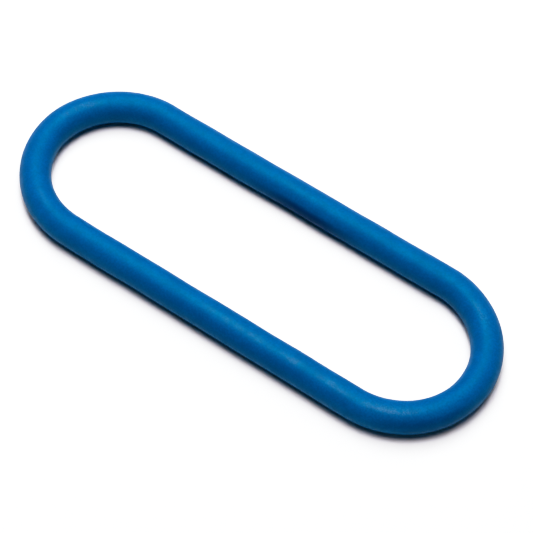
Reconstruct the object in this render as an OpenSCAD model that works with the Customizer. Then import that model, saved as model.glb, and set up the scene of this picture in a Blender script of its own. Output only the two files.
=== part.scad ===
// Oblong juggling ring: a bent aluminium tube core under a soft dipped skin.
//
// The ring lies flat. Its long axis is X, its short axis is Y, and Z = 0 is
// the surface that it lies on. The origin is at the middle of the ring.
// All sizes are in millimetres.

/* [Ring] */
// Overall length, from end to end
ring_length = 335; // [260:5:420]
// Overall width, from side to side
ring_width = 125; // [100:5:160]
// Diameter of the covered bar that the hand holds
grip_d = 20; // [18:0.5:26]

/* [Core tube] */
// Outside diameter of the bent tube
tube_d = 16; // [12:0.5:16]
// Wall thickness of the bent tube
tube_wall = 1; // [0.8:0.1:2]
// Gap between the ends of the two bends in each butt joint
butt_gap = 0.5; // [0.2:0.1:2]
// Chamfer inside each tube end, which lets the sleeve enter
mouth_chamfer = 0.4; // [0.2:0.1:0.6]

/* [Joint spigots] */
// Length of the sleeve inside each butt joint
spigot_length = 60; // [50:5:80]
// Wall thickness of the sleeve
spigot_wall = 1.5; // [1:0.1:2]
// Chamfer on the sleeve's ends, so that it enters the tube
spigot_chamfer = 0.8; // [0.4:0.1:1]

/* [Spring pins] */
// Diameter of the slotted pins across each joint
pin_d = 3; // [2:0.5:4]
// Wall thickness of the rolled pin
pin_wall = 0.6; // [0.4:0.1:0.7]
// Width of the slot along the pin
pin_slot = 0.7; // [0.4:0.1:1]
// Distance of each pin from the middle of its joint
pin_offset = 18; // [12:1:20]

/* [Hidden] */
// Distance from the ring's middle to the centre of each end bend
straight_half = (ring_length - ring_width) / 2;
// Radius of the bar's centre line round each end
bend_r = (ring_width - grip_d) / 2;
// Height of the bar's centre line above the surface
bar_z = grip_d / 2;
// Bore of the bent tube, which the sleeve fills
bore_d = tube_d - 2 * tube_wall;
// The pins stop just short of the tube's round outside
pin_sink = 0.1;
pin_length = 2 * sqrt(pow(tube_d / 2, 2) - pow(pin_d / 2, 2)) - 2 * pin_sink;
pin_chamfer = 0.3;
// Extra reach of each cut past the solid that it goes through
cut_margin = 1;

LEFT = -1;
RIGHT = 1;
FRONT = -1;
BACK = 1;

$fn = 96;

// Flat ring of the given diameters, which the tubes are made of
module wall_section(outer_d, inner_d) {
    difference() {
        circle(d = outer_d);
        circle(d = inner_d);
    }
}

// Half turn of tube round the centre of the ring's left or right end
module end_bend(outer_d, inner_d, end) {
    translate([end * straight_half, 0, bar_z])
        rotate([0, 0, end == RIGHT ? -90 : 90])
            rotate_extrude(angle = 180)
                translate([bend_r, 0])
                    wall_section(outer_d, inner_d);
}

// Straight tube along X, on the ring's front or back side
module straight_tube(outer_d, inner_d, x_from, x_to, side) {
    translate([x_from, side * bend_r, bar_z])
        rotate([90, 0, 90])
            linear_extrude(height = x_to - x_from)
                wall_section(outer_d, inner_d);
}

// Puts its children on the centre line of the bar, at a pin's place
module at_pin(end, side) {
    translate([end * pin_offset, side * bend_r, bar_z])
        children();
}

// Seamless soft skin, all the way round the ring
module jacket() {
    color([0.01, 0.43, 0.69])
        union() {
            for (side = [FRONT, BACK])
                straight_tube(grip_d, tube_d, -straight_half, straight_half, side);
            for (end = [LEFT, RIGHT])
                end_bend(grip_d, tube_d, end);
        }
}

// Cone that chamfers a tube's mouth on the right of a joint
module mouth_cone() {
    rotate([0, 90, 0])
        cylinder(h = mouth_chamfer, d1 = bore_d + 2 * mouth_chamfer, d2 = bore_d);
}

// One half of the core: a bend with two legs, drilled for its two pins
module core_bend(end) {
    leg_end = end * butt_gap / 2;
    bend_end = end * straight_half;
    color([0.78, 0.79, 0.80])
        difference() {
            union() {
                end_bend(tube_d, bore_d, end);
                for (side = [FRONT, BACK])
                    straight_tube(
                        tube_d,
                        bore_d,
                        min(leg_end, bend_end),
                        max(leg_end, bend_end),
                        side
                    );
            }
            for (side = [FRONT, BACK]) {
                at_pin(end, side)
                    cylinder(h = tube_d + cut_margin, d = pin_d, center = true);
                translate([leg_end, side * bend_r, bar_z])
                    mirror([end == LEFT ? 1 : 0, 0, 0])
                        mouth_cone();
            }
        }
}

// Sleeve that bridges a butt joint, chamfered at both ends
module spigot(side) {
    outer_r = bore_d / 2;
    inner_r = outer_r - spigot_wall;
    half = spigot_length / 2;
    color([0.70, 0.71, 0.73])
        difference() {
            translate([0, side * bend_r, bar_z])
                rotate([0, 90, 0])
                    rotate_extrude()
                        polygon([
                            [inner_r, -half],
                            [outer_r - spigot_chamfer, -half],
                            [outer_r, -half + spigot_chamfer],
                            [outer_r, half - spigot_chamfer],
                            [outer_r - spigot_chamfer, half],
                            [inner_r, half]
                        ]);
            for (end = [LEFT, RIGHT])
                at_pin(end, side)
                    cylinder(h = bore_d + cut_margin, d = pin_d, center = true);
        }
}

// Slotted spring pin, upright through tube and sleeve
module spring_pin(end, side) {
    outer_r = pin_d / 2;
    inner_r = outer_r - pin_wall;
    half = pin_length / 2;
    color([0.45, 0.46, 0.48])
        at_pin(end, side)
            difference() {
                rotate_extrude()
                    polygon([
                        [inner_r, -half],
                        [outer_r - pin_chamfer, -half],
                        [outer_r, -half + pin_chamfer],
                        [outer_r, half - pin_chamfer],
                        [outer_r - pin_chamfer, half],
                        [inner_r, half]
                    ]);
                translate([0, -pin_slot / 2, -half - cut_margin])
                    cube([pin_d, pin_slot, pin_length + 2 * cut_margin]);
            }
}

jacket();
core_bend(LEFT);  // bend_left
core_bend(RIGHT);  // bend_right
spigot(FRONT);  // spigot_front
spigot(BACK);  // spigot_back
spring_pin(LEFT, FRONT);  // pin_front_left
spring_pin(RIGHT, FRONT);  // pin_front_right
spring_pin(LEFT, BACK);  // pin_back_left
spring_pin(RIGHT, BACK);  // pin_back_right
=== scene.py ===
"""Looks of the oblong juggling ring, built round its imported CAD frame.

Lengths are in metres, or in millimetres times MM.
"""

import math

import bpy
import numpy as np
from mathutils import Matrix, Vector


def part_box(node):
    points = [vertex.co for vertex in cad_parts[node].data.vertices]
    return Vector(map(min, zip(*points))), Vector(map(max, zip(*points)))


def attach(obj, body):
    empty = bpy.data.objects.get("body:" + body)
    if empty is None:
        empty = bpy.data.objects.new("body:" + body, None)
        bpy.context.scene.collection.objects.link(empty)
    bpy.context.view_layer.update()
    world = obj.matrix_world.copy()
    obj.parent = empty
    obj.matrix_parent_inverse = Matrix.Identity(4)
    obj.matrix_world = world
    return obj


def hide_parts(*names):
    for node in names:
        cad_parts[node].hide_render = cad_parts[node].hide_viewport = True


MM = 0.001
SEED = 7

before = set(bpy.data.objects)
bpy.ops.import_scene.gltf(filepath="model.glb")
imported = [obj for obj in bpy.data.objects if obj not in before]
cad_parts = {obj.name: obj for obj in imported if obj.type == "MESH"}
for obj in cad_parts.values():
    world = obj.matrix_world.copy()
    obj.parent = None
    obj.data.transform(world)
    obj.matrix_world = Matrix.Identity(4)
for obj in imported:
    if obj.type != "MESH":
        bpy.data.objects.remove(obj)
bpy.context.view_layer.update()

# ---------------------------------------------------------------- the ring's sizes, from the frame


def size_of(node_name):
    """Length, width and height of a CAD node. Its mesh is faceted, so each is rounded to 0.1 mm."""
    low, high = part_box(node_name)
    return [round(side, 4) for side in high - low]


RING_LENGTH, RING_WIDTH, BAR_D = size_of("jacket")
BAR_R = BAR_D / 2
BAR_Z = BAR_R
TUBE_R = size_of("bend_left")[2] / 2
BEND_R = RING_WIDTH / 2 - BAR_R
STRAIGHT_HALF = (RING_LENGTH - RING_WIDTH) / 2
STRAIGHT = 2 * STRAIGHT_HALF
HALF_TURN = math.pi * BEND_R
LOOP = 2 * (STRAIGHT + HALF_TURN)

# ---------------------------------------------------------------- the skin's mesh

# The last dip leaves the skin this much over its nominal radius
LAST_DIP = 0.15 * MM
# How far the skin sways from the bar's centre line and swells, each as a root mean square, and the
# numbers of waves round the loop that add up to it
SWAY, SWAY_WAVES = 0.10 * MM, (3, 5, 8, 13)
SWELL, SWELL_WAVES = 0.05 * MM, (4, 7, 11, 17, 23)
# Mesh rings along the loop, and points in each ring
OUTER_STATIONS, OUTER_SIDES = 860, 96
INNER_STATIONS, INNER_SIDES = 300, 40


def centre_line(s):
    """Points and outward directions of the bar's centre line, for distances s along it.

    s starts in the middle of the front straight and runs towards +X. Each point lies BEND_R outward
    from the line between the two bends' centres, at the X called middle.
    """
    s = np.asarray(s) % LOOP
    bend_start = STRAIGHT_HALF
    back_start = bend_start + HALF_TURN
    left_start = back_start + STRAIGHT
    front_start = left_start + HALF_TURN
    before = [s < bend_start, s < back_start, s < left_start, s < front_start]
    turn = np.select(
        before,
        [0 * s, (s - bend_start) / BEND_R, np.pi + 0 * s, np.pi + (s - left_start) / BEND_R],
        2 * np.pi,
    )
    middle = np.select(
        before,
        [s, STRAIGHT_HALF + 0 * s, STRAIGHT_HALF - (s - back_start), -STRAIGHT_HALF + 0 * s],
        s - LOOP,
    )
    outward = np.stack([np.sin(turn), -np.cos(turn)], 1)
    points = np.stack([middle, 0 * s], 1) + BEND_R * outward
    return points, outward


def ripple(s, waves, size):
    """A gentle unevenness that closes on itself round the loop.

    waves are the numbers of waves round the loop, and size is the whole's root mean square.
    """
    rng = np.random.default_rng([SEED, *waves])
    total = 0 * s
    for count in waves:
        total = total + np.sin(2 * np.pi * (count * s / LOOP + rng.random()))
    return total * size / math.sqrt(len(waves) / 2)


def tube_grid(stations, sides, radius, height, uneven):
    """Vertices of a closed tube round the loop: at each station, a ring of as many points as sides."""
    s = np.arange(stations) * LOOP / stations
    points, outward = centre_line(s)
    angle = np.arange(sides) * 2 * np.pi / sides
    sway = ripple(s, SWAY_WAVES, SWAY) if uneven else 0 * s
    swell = ripple(s, SWELL_WAVES, SWELL) if uneven else 0 * s
    ring_r = (radius + swell)[:, None]
    across = sway[:, None] + ring_r * np.cos(angle)
    grid = np.empty((stations, sides, 3))
    grid[:, :, :2] = points[:, None, :] + outward[:, None, :] * across[:, :, None]
    # Where the tube swells it also rises, so it never goes below what it lies on
    grid[:, :, 2] = height + ring_r * np.sin(angle) + np.maximum(0, swell)[:, None]
    return grid.reshape(-1, 3)


def tube_faces(stations, sides, first, inside_out):
    """Quads of a tube_grid whose vertices start at number first."""
    i, j = np.meshgrid(np.arange(stations), np.arange(sides), indexing="ij")
    next_i, next_j = (i + 1) % stations, (j + 1) % sides
    corners = [i * sides + j, i * sides + next_j, next_i * sides + next_j, next_i * sides + j]
    if not inside_out:
        corners.reverse()
    return np.stack(corners, -1).reshape(-1, 4) + first


def make_skin():
    """The dipped skin: an outer surface with its slight unevenness, and the bore that the tube fills."""
    outer = tube_grid(OUTER_STATIONS, OUTER_SIDES, BAR_R + LAST_DIP, BAR_Z + LAST_DIP, uneven=True)
    inner = tube_grid(INNER_STATIONS, INNER_SIDES, TUBE_R, BAR_Z, uneven=False)
    faces = np.concatenate([
        tube_faces(OUTER_STATIONS, OUTER_SIDES, 0, inside_out=False),
        tube_faces(INNER_STATIONS, INNER_SIDES, len(outer), inside_out=True),
    ])
    mesh = bpy.data.meshes.new("jacket_skin")
    mesh.from_pydata(np.concatenate([outer, inner]).tolist(), [], faces.tolist())
    mesh.validate()
    mesh.shade_smooth()
    skin = bpy.data.objects.new("jacket_skin", mesh)
    bpy.context.scene.collection.objects.link(skin)
    return skin


# ---------------------------------------------------------------- materials


class Shader:
    """A new node material, with short calls that add and link its nodes."""

    def __init__(self, name):
        self.material = bpy.data.materials.new(name)
        self.material.use_nodes = True
        self.tree = self.material.node_tree
        self.surface = self.tree.nodes["Principled BSDF"]
        coordinates = self.node("TexCoord")
        self.place = coordinates.outputs["Object"]
        self.normal = coordinates.outputs["Normal"]

    def node(self, kind, settings=None, **inputs):
        """A new node: settings are its own, and inputs go by the socket's name, with _ for a space."""
        made = self.tree.nodes.new("ShaderNode" + kind)
        for key, value in (settings or {}).items():
            setattr(made, key, value)
        for key, value in inputs.items():
            self.feed(made.inputs[key.replace("_", " ")], value)
        return made

    def feed(self, socket, value):
        """Gives a socket a link, or a value of its own."""
        if isinstance(value, bpy.types.NodeSocket):
            self.tree.links.new(value, socket)
        else:
            socket.default_value = value

    def noise(self, size, detail=2.0, roughness=0.5, place=None):
        """Smooth noise whose features are about size metres across."""
        made = self.node("TexNoise", Scale=1 / size, Detail=detail, Roughness=roughness)
        self.feed(made.inputs["Vector"], place or self.place)
        return made.outputs["Fac"]

    def ramp(self, value, low, high, to_low=0.0, to_high=1.0):
        """value from low to high becomes to_low to to_high, smoothly and clamped."""
        made = self.node("MapRange", {"interpolation_type": "SMOOTHSTEP"}, Value=value)
        for key, number in (
            ("From Min", low), ("From Max", high), ("To Min", to_low), ("To Max", to_high),
        ):
            made.inputs[key].default_value = number
        return made.outputs["Result"]

    def maths(self, operation, a, b):
        """A number from two numbers."""
        made = self.node("Math", {"operation": operation})
        self.feed(made.inputs[0], a)
        self.feed(made.inputs[1], b)
        return made.outputs[0]

    def times(self, a, b):
        """The product of two numbers."""
        return self.maths("MULTIPLY", a, b)

    def compare(self, operation, a, b):
        """A number from two vectors: their DISTANCE or their DOT_PRODUCT."""
        made = self.node("VectorMath", {"operation": operation})
        self.feed(made.inputs[0], a)
        self.feed(made.inputs[1], b)
        return made.outputs["Value"]

    def mix(self, share, a, b):
        """The colour a where share is 0 and b where it is 1."""
        made = self.node("Mix", {"data_type": "RGBA"})
        # Sockets of the same name stand here for each data type, so the colour ones go by number
        for index, value in ((0, share), (6, a), (7, b)):
            self.feed(made.inputs[index], value)
        return made.outputs[2]

    def bump(self, height, depth, below=None):
        """Relief of depth metres from a height of 0 to 1, on top of an earlier bump."""
        made = self.node("Bump", Height=height, Distance=depth)
        if below is not None:
            self.feed(made.inputs["Normal"], below)
        return made.outputs["Normal"]

    def set(self, **inputs):
        """Feeds the surface's own sockets, by name."""
        for key, value in inputs.items():
            self.feed(self.surface.inputs[key.replace("_", " ")], value)


BLUE = (0.0, 0.098, 0.258, 1)
BLUE_DEEP = (0.0, 0.089, 0.237, 1)
BLUE_FLECK = (0.0, 0.064, 0.180, 1)
# The colour of the darker patch and of the painted shade on two flanks
BLUE_DARK_PATCH_AND_SHADE = (0.0, 0.008, 0.095, 1)
# Pale specks on the worn top: partly scuffs, partly painted glints
SCUFF_AND_GLINT = (0.10, 0.20, 0.33, 1)
SPECULAR_TINT = (0.0, 1.0, 0.75, 1)
SHEEN_TINT = (0.0, 1.0, 0.7, 1)
# Marks on the skin: distance along the loop in mm, angle round the bar in degrees (0 is outward and
# 90 is up), reach in mm, and how much. Handling has polished the top. The dark marks are one darker
# patch and, on two flanks, painted shade.
WORN = (
    (25, 79, 50, 0.7), (60, 79, 15, 1.0), (90, 80, 20, 0.9), (130, 80, 35, 1.3), (235, 98, 20, 0.8),
    (380, 100, 15, 0.3), (540, 98, 20, 1.2), (620, 82, 15, 0.6),
)
# The dark marks: a darker patch low on the back straight's inner flank, then painted shade on the low
# outer flanks of the right front bend and the front straight, which face away from the lamps
DARK_PATCH_AND_SHADE = ((368, 180, 50, 0.9), (150, 20, 75, 0.3), (20, 28, 130, 0.15))
# Along the bar a mark is whole up to this share of its reach
MARK_CORE = 0.1
# Round the bar a mark is whole up to 8 degrees, and gone past 20, or past 38 if it is a dark patch or
# painted shade.
# These are the cosines of those angles, rounded.
MARK_WHOLE = 0.99
WORN_GONE = 0.94
DARK_PATCH_AND_SHADE_GONE = 0.79
# How much the flecks, the scuffs and their painted glints, and the polish show, and how much rougher a
# scuff is
FLECK_SHARE = 0.5
SCUFF_AND_GLINT_SHARE = 0.14
POLISH_COAT = 0.07
SCUFF_ROUGHNESS = 0.1
# Relief of the skin: shallow waves, and the orange peel on them
WAVE_DEPTH = 0.05 * MM
PEEL_DEPTH = 0.045 * MM


def surface_point(along, angle):
    """The point of the skin at a distance along the loop and an angle round the bar, and its normal."""
    points, outward = centre_line([along])
    turn = math.radians(angle)
    normal = Vector((*(outward[0] * math.cos(turn)), math.sin(turn)))
    return Vector((*points[0], BAR_Z)) + BAR_R * normal, normal


def marked(m, marks, gone):
    """How strongly the skin is marked. gone is the cosine at which a mark ends round the bar."""
    total = 0.0
    for along, angle, reach, amount in marks:
        place, facing = surface_point(along * MM, angle)
        away = m.compare("DISTANCE", m.place, place)
        near = m.ramp(away, MARK_CORE * reach * MM, reach * MM, amount, 0.0)
        turned = m.ramp(m.compare("DOT_PRODUCT", m.normal, facing), gone, MARK_WHOLE)
        total = m.maths("MAXIMUM", total, m.times(near, turned))
    return total


def skin_material():
    """Soft matt blue vinyl: fine orange peel from dipping, a mottle, a sheen, worn places with painted
    glints, a dark patch and painted shade.
    """
    m = Shader("dipped_vinyl")
    # The blue, clouded and flecked, with a darker patch and painted shade on two flanks
    cloud = m.ramp(m.noise(9 * MM, detail=4), 0.35, 0.65)
    grain = m.ramp(m.noise(1.3 * MM, detail=2, roughness=0.6), 0.35, 0.65)
    colour = m.mix(m.times(grain, FLECK_SHARE), m.mix(cloud, BLUE, BLUE_DEEP), BLUE_FLECK)
    colour = m.mix(marked(m, DARK_PATCH_AND_SHADE, DARK_PATCH_AND_SHADE_GONE), colour, BLUE_DARK_PATCH_AND_SHADE)
    # The worn places are patchy, and pale specks lie in them, partly scuffs and partly painted glints
    # along the lamps' highlight
    patches = m.ramp(m.noise(4.5 * MM, detail=5, roughness=0.7), 0.38, 0.56, 0.1, 1.2)
    worn = m.times(marked(m, WORN, WORN_GONE), patches)
    specks = m.ramp(m.noise(1.1 * MM, detail=3, roughness=0.6), 0.40, 0.68)
    scuffs_and_glints = m.times(worn, specks)
    colour = m.mix(m.times(scuffs_and_glints, SCUFF_AND_GLINT_SHARE), colour, SCUFF_AND_GLINT)
    # Satin to matt in soft clouds, over shallow waves and the orange peel
    haze = m.ramp(m.noise(5 * MM, detail=3), 0.3, 0.7, 0.47, 0.57)
    rough = m.maths("ADD", haze, m.times(scuffs_and_glints, SCUFF_ROUGHNESS))
    waves = m.bump(m.noise(4 * MM, detail=3), WAVE_DEPTH)
    relief = m.bump(m.noise(0.9 * MM, detail=2), PEEL_DEPTH, below=waves)
    m.set(Base_Color=colour, Roughness=rough, Normal=relief)
    m.set(Specular_IOR_Level=0.21, Specular_Tint=SPECULAR_TINT)
    m.set(Sheen_Weight=0.02, Sheen_Roughness=0.5, Sheen_Tint=SHEEN_TINT)
    # A thin polish, only where it is worn
    m.set(Coat_Weight=m.times(worn, POLISH_COAT), Coat_Roughness=0.2, Coat_Normal=waves)
    return m.material


# Scale of the drawn lines' pattern: a small one along X draws it out
LINE_SCALE = (0.03, 1, 1)
# How deep the lines are and how much rougher at most, and how much the dull spots show and roughen
LINE_DEPTH = 0.01 * MM
LINE_ROUGHNESS = 0.12
SPOT_SHARE = 0.5
SPOT_ROUGHNESS = 0.15


def drawn_metal(name, colour, worn, rough):
    """Bare metal with fine lines along X, as drawn or turned stock has, and small dull spots."""
    m = Shader(name)
    stretch = m.node("Mapping", Vector=m.place, Scale=LINE_SCALE).outputs["Vector"]
    lines = m.noise(0.25 * MM, detail=3, roughness=0.6, place=stretch)
    spots = m.ramp(m.noise(2.5 * MM, detail=4), 0.55, 0.7)
    shade = m.mix(m.ramp(lines, 0.3, 0.7), colour, worn)
    line_rough = m.ramp(lines, 0.3, 0.7, rough, rough + LINE_ROUGHNESS)
    m.set(Base_Color=m.mix(m.times(spots, SPOT_SHARE), shade, worn), Metallic=1.0)
    m.set(Roughness=m.maths("ADD", line_rough, m.times(spots, SPOT_ROUGHNESS)))
    m.set(Normal=m.bump(lines, LINE_DEPTH))
    return m.material


# ---------------------------------------------------------------- the object

skin = make_skin()
skin.data.materials.append(skin_material())
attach(skin, "root")
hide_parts("jacket")

METALS = {
    "bend": drawn_metal("drawn_aluminium", (0.78, 0.79, 0.80, 1), (0.62, 0.63, 0.64, 1), 0.30),
    "spigot": drawn_metal("turned_aluminium", (0.72, 0.73, 0.75, 1), (0.58, 0.58, 0.60, 1), 0.24),
    "pin": drawn_metal("spring_steel", (0.30, 0.30, 0.32, 1), (0.16, 0.15, 0.15, 1), 0.38),
}
for node_name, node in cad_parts.items():
    kind = node_name.split("_")[0]
    if kind in METALS:
        for slot in node.material_slots:
            slot.material = METALS[kind]

# ---------------------------------------------------------------- floor, light and camera

FLOOR_R = 14.0
FLOOR_COLOUR = (0.84, 0.85, 0.86, 1)
FLOOR_SHADE = (0.82, 0.83, 0.84, 1)
# Away from the ring the lamps' light fades, and between these distances the floor's own glow takes over
GLOW_START, GLOW_FULL = 0.4, 1.8
GLOW = 1.5
# The world's brightness low down and above, and the heights between which it changes, as the Z of
# the direction looked in
HORIZON = (1.4, 1.4, 1.4, 1)
DIM_SKY = (0.05, 0.05, 0.05, 1)
HORIZON_TOP, SKY_BOTTOM = 0.05, 0.10
# The scene value that shows as white
WHITE_LEVEL = 1.4
# Scene value and display value: dark tones a little darker, and a soft shoulder up to the white level
TONE_CURVE = (
    (0.02, 0.007), (0.06, 0.030), (0.12, 0.077), (0.25, 0.203), (0.5, 0.5), (0.8, 0.81),
    (1.07, 0.927), (1.25, 0.975),
)
# Red before and after the curve of its own, which comes first and takes it out of the deepest tones
RED_TOE = ((0.006, 0.0005), (0.02, 0.009), (0.04, 0.035))


def make_floor():
    """A plain pale floor, with clouds too faint to draw the eye."""
    bpy.ops.mesh.primitive_circle_add(vertices=96, radius=FLOOR_R, fill_type="NGON")
    floor = bpy.context.object
    floor.name = "floor"
    m = Shader("floor_white")
    shade = m.mix(m.noise(0.4), FLOOR_COLOUR, FLOOR_SHADE)
    m.set(Base_Color=shade, Roughness=0.9, Specular_IOR_Level=0.1)
    away = m.compare("DISTANCE", m.place, (0, 0, 0))
    m.set(Emission_Color=(1, 1, 1, 1), Emission_Strength=m.ramp(away, GLOW_START, GLOW_FULL, 0.0, GLOW))
    floor.data.materials.append(m.material)


def make_softbox(name, place, width, radiance):
    """A round softbox of the given width that faces the ring."""
    lamp = bpy.data.lights.new(name, "AREA")
    lamp.shape = "DISK"
    lamp.size = width
    # A flat lamp's power is pi times its radiance times its area
    area = math.pi * (width / 2) ** 2
    lamp.energy = math.pi * radiance * area
    holder = bpy.data.objects.new(name, lamp)
    holder.location = place
    holder.rotation_mode = "QUATERNION"
    holder.rotation_quaternion = Vector(place).to_track_quat("Z", "Y")
    bpy.context.scene.collection.objects.link(holder)


def make_world():
    """Dim all round, so that the floor's own bounce is the fill, and pale along the horizon."""
    world = bpy.data.worlds.new("studio")
    bpy.context.scene.world = world
    world.use_nodes = True
    nodes, links = world.node_tree.nodes, world.node_tree.links
    place = nodes.new("ShaderNodeTexCoord")
    split = nodes.new("ShaderNodeSeparateXYZ")
    ramp = nodes.new("ShaderNodeValToRGB")
    links.new(place.outputs["Generated"], split.inputs[0])
    links.new(split.outputs["Z"], ramp.inputs[0])
    links.new(ramp.outputs[0], nodes["Background"].inputs["Color"])
    stops = ramp.color_ramp.elements
    stops[0].position, stops[0].color = HORIZON_TOP, HORIZON
    stops[1].position, stops[1].color = SKY_BOTTOM, DIM_SKY


def make_camera(azimuth, elevation, roll, distance, aside, lens):
    """A camera that faces the ring's middle from a distance, then is moved aside without turning.

    Angles are in degrees, and azimuth 0 looks along +Y. aside is how far it moves to the right and up.
    lens is the focal length in millimetres.
    """
    a, e = math.radians(azimuth), math.radians(elevation)
    back = Vector((math.sin(a) * math.cos(e), -math.cos(a) * math.cos(e), math.sin(e)))
    right = Vector((math.cos(a), math.sin(a), 0))
    up = back.cross(right)
    camera = bpy.data.objects.new("camera", bpy.data.cameras.new("camera"))
    camera.data.lens = lens
    camera.data.clip_end = 100
    place = back * distance + right * aside[0] + up * aside[1]
    turn = Matrix((right, up, back)).transposed() @ Matrix.Rotation(math.radians(roll), 3, "Z")
    camera.matrix_world = Matrix.Translation(place) @ turn.to_4x4()
    bpy.context.scene.collection.objects.link(camera)
    bpy.context.scene.camera = camera


def set_tone():
    """Standard display colours, through the curve for red and then the tone curve for all three."""
    look = bpy.context.scene.view_settings
    look.view_transform = "Standard"
    look.use_curve_mapping = True
    mapping = look.curve_mapping
    mapping.white_level = (WHITE_LEVEL, WHITE_LEVEL, WHITE_LEVEL)
    red, combined = mapping.curves[0], mapping.curves[3]
    for x, y in RED_TOE:
        red.points.new(x / WHITE_LEVEL, y / WHITE_LEVEL)
    for x, y in TONE_CURVE:
        combined.points.new(x / WHITE_LEVEL, y)
    mapping.update()


make_floor()
make_world()
make_softbox("overhead_soft", (-0.20, 0.07, 2.55), width=1.85, radiance=7.75)
make_softbox("overhead_core", (-0.13, -0.02, 1.70), width=0.5, radiance=11.0)
make_softbox("far_left", (-0.73, 0.61, 1.65), width=1.0, radiance=8.5)
make_softbox("far_back", (-0.10, 1.33, 1.34), width=0.9, radiance=4.2)
make_camera(
    azimuth=28.8, elevation=57.0, roll=6.06, distance=1.395, aside=(0.0065, -0.0002), lens=151.7,
)
set_tone()
